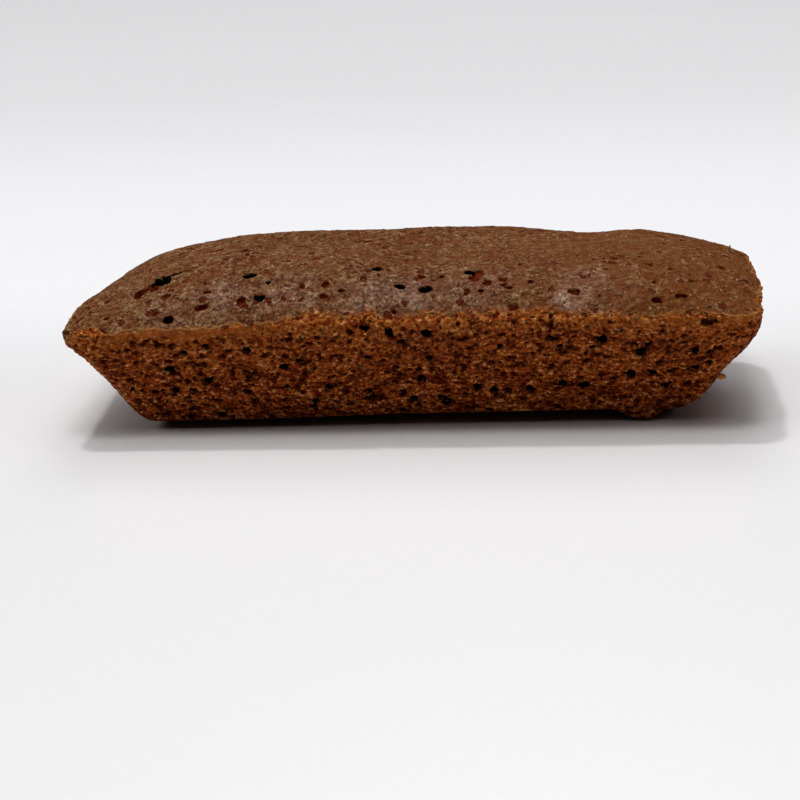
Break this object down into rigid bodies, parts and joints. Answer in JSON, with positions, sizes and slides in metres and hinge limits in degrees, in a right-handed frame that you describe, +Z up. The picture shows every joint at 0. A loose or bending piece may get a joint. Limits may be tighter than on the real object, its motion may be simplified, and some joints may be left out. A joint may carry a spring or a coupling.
{
  "type": "chocolate cake",
  "caption": "Small chocolate bar cake baked in a flared tin, with a domed brown crust and open, crumbly sides",
  "frame": {"origin": "on the surface the cake stands on, under the middle of its overall box", "axes": "+X along the cake, towards the end with the blunt edge; -Y is the long flank with the plain view in the picture; +Z up through the crust"},
  "size_m": [0.0882, 0.0372, 0.0216],
  "materials": {
    "cake": null
  },
  "bodies": {
    "root": {"cake": "cake"}
  },
  "joints": []
}
